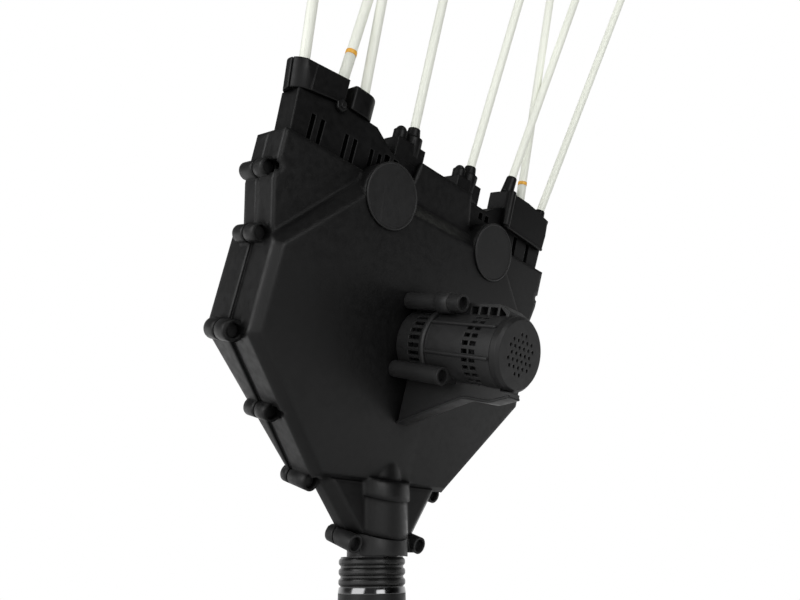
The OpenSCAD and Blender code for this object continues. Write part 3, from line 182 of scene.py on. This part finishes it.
# Looks: those of the record's slots, then those that single nodes and added pieces have
LOOKS = {
    # The case and hand plastics get painted shade in their creases, reaching this far in metres
    "case_plastic": dict(base=(0.0035, 0.0035, 0.0036), rough=0.4, specular=0.38, edge=0.0038, crease_shade_reach=0.012),
    "hand_plastic": dict(base=(0.003, 0.003, 0.0031), rough=0.4, specular=0.26, edge=0.0012, crease_shade_reach=0.01),
    "rod_plastic": dict(base=(0.9, 0.92, 0.83), rough=0.34, tone=0.04, cloud=12.0, strength=0.1,
                        specular=0.4),
    "marker_plastic": dict(base=(0.88, 0.45, 0.05), rough=0.35, tone=0.1),
    "tube_aluminium": dict(base=(0.02, 0.02, 0.021), rough=0.32, stretch=(6, 6, 0.4), specular=0.6),
    "steel": dict(base=(0.42, 0.42, 0.43), rough=0.34, tone=0.15, metallic=1.0, grain=1500.0),
    "magnet": dict(base=(0.07, 0.07, 0.075), rough=0.55),
    "brass": dict(base=(0.62, 0.44, 0.2), rough=0.32, tone=0.15, metallic=1.0),
    "black_screw": dict(base=(0.005, 0.005, 0.0052), rough=0.4, specular=0.38),
    "boot_rubber": dict(base=(0.008, 0.008, 0.008), rough=0.28, specular=0.45, grain=500.0),
    "gloss_ring": dict(base=(0.2, 0.2, 0.203), rough=0.14, tone=0.06, metallic=1.0, strength=0.15),
    "motor_plastic": dict(base=(0.019, 0.019, 0.0192), rough=0.45, specular=0.4, edge=0.0006),
    "cap_plastic": dict(base=(0.011, 0.011, 0.0112), rough=0.45, specular=0.4, edge=0.0008),
    "pole_paint": dict(base=(0.005, 0.005, 0.0052), rough=0.42, specular=0.35),
    "seam_rubber": dict(base=(0.006, 0.006, 0.006), rough=0.45, specular=0.42),
    "dark_can": dict(base=(0.02, 0.02, 0.021), rough=0.5, metallic=0.6),
    "sleeve_white": dict(base=(0.8, 0.82, 0.74), rough=0.3, tone=0.03, grain=400.0, specular=0.4),
}
looks = {name: moulded(name, **values) for name, values in LOOKS.items()}

# Looks of the nodes: a look of their own, or else their slot's
own = {n: "black_screw" for n in nodes if n.endswith("screws")}
own.update({
    "pole_ring": "gloss_ring", "pole_boot": "boot_rubber", "pole_tube": "pole_paint",
    "neck_tube": "pole_paint", "pole_collar": "cap_plastic", "collar_back": "cap_plastic",
    "pivot_caps": "cap_plastic", "cover_gasket": "seam_rubber", "motor_cover_top": "motor_plastic",
    "motor_cover_bottom": "motor_plastic", "motor_end_cap": "cap_plastic", "motor_can": "dark_can",
})


def dress(obj, m):
    """One material on all of an object's slots."""
    if not obj.material_slots:
        obj.data.materials.append(m)
    for s in obj.material_slots:
        s.link = "OBJECT"
        s.material = m


slots = {q["node"]: q["material_slot"] for q in frame["record"]["subparts"]}
for n, obj in nodes.items():
    dress(obj, looks[own.get(n, slots[n])])

# Rounded edges on the moulded pieces
WELD_REACH = 0.00002
EDGE_STEPS = 3
EDGE_ANGLE = math.radians(35)
EDGE_WIDTHS = {
    "front_cover": 0.0009, "rear_cover": 0.0009, "pole_collar": 0.0008, "collar_back": 0.0008,
    "pivot_caps": 0.0006, "left_arm": 0.0008, "right_arm": 0.0008, "left_outer_clamp": 0.0012,
    "left_holder": 0.001, "right_outer_clamp": 0.0012, "right_inner_clamp": 0.0024,
    "right_holder": 0.001, "left_collar": 0.0004, "right_collars": 0.0004, "left_marker": 0.0003,
    "right_marker": 0.0003,
}
for name, width in EDGE_WIDTHS.items():
    weld = nodes[name].modifiers.new("weld", "WELD")
    weld.merge_threshold = WELD_REACH
    bevel = nodes[name].modifiers.new("bevel", "BEVEL")
    bevel.width = width
    bevel.segments = EDGE_STEPS
    bevel.limit_method = "ANGLE"
    bevel.angle_limit = EDGE_ANGLE
    bevel.use_clamp_overlap = True
    bevel.harden_normals = False
    bevel.miter_outer = "MITER_ARC"

# Helpers for the added pieces, whose sizes are in millimetres
CORNER_STEPS = 4
FINE_ANGLE = 25


def mesh_object(name, verts, faces, material):
    """A mesh in the scene."""
    me = bpy.data.meshes.new(name)
    me.from_pydata([tuple(v) for v in verts], [], faces)
    me.update()
    obj = bpy.data.objects.new(name, me)
    scene.collection.objects.link(obj)
    me.materials.append(material)
    return obj


def piece(name, parts, look, body, angle=40):
    """One object from several closed meshes, riding on a body, smooth up to an angle."""
    verts, faces = [], []
    for v, f in parts:
        faces += [tuple(i + len(verts) for i in q) for q in f]
        verts += v
    obj = mesh_object(name, verts, faces, looks[look])
    bm = bmesh.new()
    bm.from_mesh(obj.data)
    bmesh.ops.recalc_face_normals(bm, faces=bm.faces)
    bm.to_mesh(obj.data)
    bm.free()
    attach(obj, body)
    for q in obj.data.polygons:
        q.use_smooth = True
    obj.data.set_sharp_from_angle(angle=math.radians(angle))
    return obj


def rings(rows):
    """A closed skin through rows of points, capped at both ends."""
    k = len(rows[0])
    verts = [q for row in rows for q in row]
    faces = [tuple(range(k)), tuple(range((len(rows) - 1) * k, len(rows) * k))]
    for i in range(len(rows) - 1):
        for j in range(k):
            n = (j + 1) % k
            faces.append((i * k + j, i * k + n, (i + 1) * k + n, (i + 1) * k + j))
    return verts, faces


def arc(centre, radius, start, steps, turn=90):
    """Points on an arc, from a start angle, over a turn."""
    angles = (math.radians(start + turn * i / steps) for i in range(steps + 1))
    return [centre + radius * Vector((math.cos(a), math.sin(a))) for a in angles]


def rounded(wide, tall, r):
    """A rectangle with round corners, as offsets across and up."""
    out = []
    for i, (cx, cy) in enumerate(((1, 1), (-1, 1), (-1, -1), (1, -1))):
        corner = Vector((cx * (wide / 2 - r), cy * (tall / 2 - r)))
        out += arc(corner, r, 90 * i, CORNER_STEPS)
    return out


def strip(path, outline, x):
    """An outline swept along a path of depth and height in the head frame, at a place across."""
    rows = []
    for i, (y, z) in enumerate(path):
        a, b = path[max(i - 1, 0)], path[min(i + 1, len(path) - 1)]
        t = math.hypot(b[0] - a[0], b[1] - a[1])
        ny, nz = -(b[1] - a[1]) / t, (b[0] - a[0]) / t
        rows.append([head(x + across, y + up_by * ny, z + up_by * nz) for across, up_by in outline])
    return rings(rows)


def spokes(along, steps):
    """An axis and the directions out from it, all around."""
    along = Vector(along).normalized()
    side = along.orthogonal().normalized()
    other = along.cross(side)
    turns = (2 * math.pi * i / steps for i in range(steps))
    return along, [side * math.cos(q) + other * math.sin(q) for q in turns]


def turned(foot, along, profile, steps=40):
    """A profile of radius and distance turned about an axis in the head frame."""
    along, outs = spokes(along, steps)
    return rings([[head(*(Vector(foot) + along * t + out * r)) for out in outs] for r, t in profile])


def hoop(foot, along, outline, steps=40, place=head):
    """A closed outline of radius and distance swept around an axis, open in the middle."""
    along, outs = spokes(along, steps)
    k = len(outline)
    verts, faces = [], []
    for i, out in enumerate(outs):
        verts += [place(*(Vector(foot) + along * t + out * r)) for r, t in outline]
        n = (i + 1) % steps
        faces += [(i * k + j, i * k + (j + 1) % k, n * k + (j + 1) % k, n * k + j) for j in range(k)]
    return verts, faces


# Beads along the seam and the lips of the motor cover
MOTOR_Z, MOTOR_R = 126.0, 20.0
BEAD_HEIGHTS = (119.0, 136.3)
BEAD_DEPTHS = (-23.6, -45, -67.8)
bead = rounded(wide=3.0, tall=2.0, r=0.9)
beads = []
for z in BEAD_HEIGHTS:
    x = math.sqrt(MOTOR_R ** 2 - (MOTOR_Z - z) ** 2)
    beads += [strip([(y, z) for y in BEAD_DEPTHS], bead, side * x) for side in SIDES]
piece("motor_beads", beads, "motor_plastic", "housing")

# Bead on the flange ring of the motor cover
FLANGE = [(21.2, 19.9), (21.9, 20.0), (22.4, 20.7), (22.4, 22.8), (21.9, 23.5), (21.2, 23.6)]
FLANGE_STEPS = 72
flange = hoop((0, 0, MOTOR_Z), FORWARD, FLANGE, FLANGE_STEPS)
piece("motor_flange_bead", [flange], "motor_plastic", "housing")

# Rims on the pivot caps, with radii from the cap's edge
PIVOT_X, PIVOT_Z, CAP_R = 49.0, 201.0, 19.5
CAP_LIP = [(-1.4, 1.0), (-1.2, 1.4), (-0.8, 1.6), (-0.3, 1.5), (0.1, 1.1), (0.1, 0.6)]
WIDE_STEPS = 96
lip = [(CAP_R + r, t) for r, t in CAP_LIP]
rims = [hoop((side * PIVOT_X, 0, PIVOT_Z), FORWARD, lip, WIDE_STEPS) for side in SIDES]
piece("pivot_cap_rims", rims, "cap_plastic", "housing")

# Rim along the keel's foot edge
KEEL = [(-0.2, 77.1), (-13, 83.4), (-26, 89.7), (-42, 97.4), (-44.5, 98.4), (-47, 98.9), (-60, 98.9),
        (-62.5, 99.0), (-65, 99.7), (-74.6, 103.4)]
keel = strip(KEEL, rounded(wide=10.6, tall=1.6, r=0.7), 0)
piece("keel_rim", [keel], "motor_plastic", "housing")

# Sleeves on the upper screw bosses of the motor cover
BOSS_X, BOSS_Z = 16.5, 148
BOSS_SLEEVE = [(4.9, 24.3), (5.7, 24.5), (6.1, 25.1), (6.1, 33.2), (5.7, 33.9), (4.9, 34.1)]
bosses = [hoop((side * BOSS_X, 0, BOSS_Z), FORWARD, BOSS_SLEEVE) for side in SIDES]
piece("motor_boss_sleeves", bosses, "motor_plastic", "housing")

# Front plate over the right hand's clamps, at depths with a share of its full size
PLATE = [(64, 228.2), (65.2, 227), (114.2, 225.6), (115.6, 226.6), (117, 238), (116.6, 245.6),
         (114.6, 249.4), (109, 251.2), (98, 252.6), (86.6, 253.5), (70, 253.3), (66.4, 252.2),
         (64.6, 249.6)]
PLATE_X, PLATE_Z = 66, 239
PLATE_DEPTHS = ((11, 1), (8.9, 1), (8.4, 0.985))
plate = []
for y, k in PLATE_DEPTHS:
    plate.append([head(PLATE_X + (x - PLATE_X) * k, y, PLATE_Z + (z - PLATE_Z) * k) for x, z in PLATE])
piece("right_clamp_plate", [rings(plate)], "hand_plastic", "right_hand", FINE_ANGLE)

# Post and lower bead on that plate
TRIM_Y = 8.8
POST = [(2.6, 0), (3.3, 0.5), (3.3, 25.2), (3.0, 26.0), (2.2, 26.4)]
POST_X, POST_Z = 66.8, 227.4
RAIL_ENDS = ((64.4, 228.0), (114.6, 226.2))
post = turned((POST_X, TRIM_Y, POST_Z), UPWARD, POST)
section = rounded(wide=2.4, tall=2.2, r=1.0)
rail = rings([[head(x, TRIM_Y + a, z + b) for a, b in section] for x, z in RAIL_ENDS])
piece("right_clamp_trim", [post, rail], "hand_plastic", "right_hand")

# Tapered trim over the ring between boot and pole
RING_Z = 71.3
TAPER = [(18.3, 0.1), (18.95, 0.1), (19.1, 0.35), (18.64, 2.95), (18.5, 3.2), (18.3, 3.2)]
trim = hoop((0, 0, RING_Z), UPWARD, TAPER, WIDE_STEPS, pole)
piece("ring_trim", [trim], "gloss_ring", "housing")

# Left inner clamp with a round inner end and a screw pocket in its top
CLAMP_OUT, CLAMP_IN = -84.5, -65.0
CLAMP_FRONT, CLAMP_BACK = 10.0, 28.0
CLAMP_FOOT, CLAMP_TOP = 240.0, 254.5
CORNER_R = 1.4
END_R = (CLAMP_BACK - CLAMP_FRONT) / 2
END = Vector((CLAMP_IN - END_R, CLAMP_FRONT + END_R))
END_STEPS = 20
POCKET = Vector((-80.0, 18.2))
POCKET_R, POCKET_DEEP = 3.8, 4.2
# Drops below the top with a share of the full outline, and with what the pocket is wider by
WALL_ROWS = ((CLAMP_TOP - CLAMP_FOOT, 1), (1.3, 1), (0.6, 0.986), (0.15, 0.955), (0, 0.91))
POCKET_ROWS = ((0, 0.4), (0.4, 0), (POCKET_DEEP, 0))

plan = arc(END, END_R, -90, END_STEPS, 180)
outer_x = CLAMP_OUT + CORNER_R
plan += arc(Vector((outer_x, CLAMP_BACK - CORNER_R)), CORNER_R, 90, CORNER_STEPS)
plan += arc(Vector((outer_x, CLAMP_FRONT + CORNER_R)), CORNER_R, 180, CORNER_STEPS)
rows = []
for drop, share in WALL_ROWS:
    rows.append([head(*(END + (q - END) * share), CLAMP_TOP - drop) for q in plan])
for drop, wider in POCKET_ROWS:
    edge = [POCKET + (q - POCKET).normalized() * (POCKET_R + wider) for q in plan]
    rows.append([head(*q, CLAMP_TOP - drop) for q in edge])
clamp = piece("left_inner_clamp_shape", [rings(rows)], "hand_plastic", "left_hand")
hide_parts("left_inner_clamp")

# Nut between the left hand's clamps
NUT_FOOT = (-90.6, 12.5, 238.4)
NUT = [(1.2, 0), (3.4, 0), (3.7, 0.4), (3.7, 2.6), (3.3, 3.1), (1.7, 3.1), (1.7, 3.9), (1.2, 4.2)]
NUT_SIDES = 6
nut = turned(NUT_FOOT, FORWARD, NUT, NUT_SIDES)
piece("left_clamp_nut", [nut], "black_screw", "left_hand", FINE_ANGLE)

# White sleeves under the marker rings, on rods that lean inwards
ROD_X, ROD_Y, ROD_Z = 89.3, 18.2, 257
ROD_IN, ROD_BACK, ROD_UP = 0.061, 0.0175, 0.998
SLEEVE_IN, SLEEVE_OUT, SLEEVE_FOOT, SLEEVE_EDGE = 3.02, 3.3, -3, 0.4
SLEEVE_TOPS = ((-1, "left_hand", 15.8), (1, "right_hand", 11.8))
for side, body, top in SLEEVE_TOPS:
    outline = [(SLEEVE_IN, SLEEVE_FOOT), (SLEEVE_OUT, SLEEVE_FOOT + SLEEVE_EDGE),
               (SLEEVE_OUT, top - SLEEVE_EDGE), (SLEEVE_IN, top)]
    sleeve = hoop((side * ROD_X, ROD_Y, ROD_Z), (side * -ROD_IN, ROD_BACK, ROD_UP), outline)
    piece(body + "_sleeve", [sleeve], "sleeve_white", body)

# Floor: a pale disc that turns into the white surroundings towards its rim
FLOOR_R, FLOOR_STEPS = 1.35, 96
FADE_FROM, FADE_TO = 0.35, 1.25
FLOOR_DARK, FLOOR_PALE = (0.78, 0.78, 0.78), (0.82, 0.82, 0.82)
FLOOR_CLOUD, FLOOR_GRAIN = 1.5, 60.0
FLOOR_SMOOTH, FLOOR_ROUGH = 0.6, 0.75

paint, tree, links, shader = new_material("floor_paint")
coords = tree.new("ShaderNodeTexCoord").outputs["Object"]
cloudy = noise(tree, links, coords, FLOOR_CLOUD, FLOOR_DETAIL)
tones = ramp(tree, links, cloudy, [(NOISE_LOW, FLOOR_DARK), (NOISE_HIGH, FLOOR_PALE)])
links.new(tones, shader.inputs["Base Color"])
grainy = noise(tree, links, coords, FLOOR_GRAIN, FLOOR_DETAIL)
matt = remap(tree, links, grainy, NOISE_LOW, NOISE_HIGH, FLOOR_SMOOTH, FLOOR_ROUGH)
links.new(matt, shader.inputs["Roughness"])
reach = tree.new("ShaderNodeVectorMath")
reach.operation = "LENGTH"
links.new(coords, reach.inputs[0])
glow = tree.new("ShaderNodeEmission")
mix = tree.new("ShaderNodeMixShader")
fade = remap(tree, links, reach.outputs["Value"], FADE_FROM, FADE_TO, 0.0, 1.0)
links.new(fade, mix.inputs["Fac"])
links.new(shader.outputs["BSDF"], mix.inputs[1])
links.new(glow.outputs["Emission"], mix.inputs[2])
links.new(mix.outputs["Shader"], tree["Material Output"].inputs["Surface"])

turns = [2 * math.pi * i / FLOOR_STEPS for i in range(FLOOR_STEPS)]
rim = [(FLOOR_R * math.cos(a), FLOOR_R * math.sin(a), 0) for a in turns]
floor = mesh_object("floor", rim, [tuple(range(FLOOR_STEPS))], paint)

# Surroundings: white to the camera, through glass and, behind the object, in reflections
WHITE = 1.0
DARK_SIDE = (0.34, -0.94, 0.15)
world = bpy.data.worlds.new("studio")
world.use_nodes = True
scene.world = world
wt, wl = world.node_tree.nodes, world.node_tree.links
background = wt["Background"]
background.inputs["Color"].default_value = (1, 1, 1, 1)
path = wt.new("ShaderNodeLightPath")
sky = wt.new("ShaderNodeTexCoord").outputs["Generated"]


def toward(direction, start, end, low, high):
    """A level that goes smoothly from low to high as a ray turns towards a direction."""
    dot = wt.new("ShaderNodeVectorMath")
    dot.operation = "DOT_PRODUCT"
    wl.new(sky, dot.inputs[0])
    dot.inputs[1].default_value = Vector(direction).normalized()
    return remap(wt, wl, dot.outputs["Value"], start, end, low, high, "SMOOTHSTEP")


def joined(operation, a, b):
    """Two levels put together."""
    both = wt.new("ShaderNodeMath")
    both.operation = operation
    wl.new(a, both.inputs[0])
    wl.new(b, both.inputs[1])
    return both.outputs[0]


# The room that lights the object: dim overhead and dark at the front right
overhead = toward(UPWARD, start=0.0, end=0.32, low=0.9, high=0.08)
front_right = toward(DARK_SIDE, start=0.6, end=0.98, low=1.0, high=0.04)
room = joined("MULTIPLY", overhead, front_right)

# The wall that reflections show: behind the object, and low
behind = toward((AHEAD[0], AHEAD[1], 0), start=0.2, end=0.8, low=0.0, high=1.0)
low_down = toward(UPWARD, start=0.3, end=0.65, low=1.0, high=0.1)
wall = joined("MULTIPLY", path.outputs["Is Glossy Ray"], joined("MULTIPLY", behind, low_down))
clear = joined("MAXIMUM", path.outputs["Is Camera Ray"], path.outputs["Is Transmission Ray"])
level = wt.new("ShaderNodeMix")
wl.new(joined("MAXIMUM", clear, wall), level.inputs["Factor"])
wl.new(room, level.inputs["A"])
level.inputs["B"].default_value = WHITE
wl.new(level.outputs["Result"], background.inputs["Strength"])

# Lamps: two soft boxes, and a top lamp and a fill that reflections don't show
LAMPS = {
    "key": dict(at=(-1.7, 0.15, 0.75), look=(0, -0.02, 0.25), wide=1.4, tall=1.2, watts=14, mirrored=True),
    "front": dict(at=(-0.4, -1.7, 0.6), look=(0, -0.02, 0.2), wide=0.9, tall=0.9, watts=8, mirrored=True),
    "top": dict(at=(0.2, 0.2, 1.8), look=(0, -0.1, 0.3), wide=1.0, tall=1.0, watts=12, mirrored=False),
    "fill": dict(at=(-0.9, -1.5, 1.0), look=(0, -0.1, 0.4), wide=1.0, tall=1.0, watts=3, mirrored=False),
}
for name, q in LAMPS.items():
    lamp = bpy.data.lights.new(name, "AREA")
    lamp.energy = q["watts"]
    lamp.shape = "RECTANGLE"
    lamp.size = q["wide"]
    lamp.size_y = q["tall"]
    obj = bpy.data.objects.new(name, lamp)
    scene.collection.objects.link(obj)
    obj.location = q["at"]
    obj.rotation_euler = (Vector(q["look"]) - Vector(q["at"])).to_track_quat("-Z", "Y").to_euler()
    obj.visible_camera = False
    obj.visible_glossy = q["mirrored"]
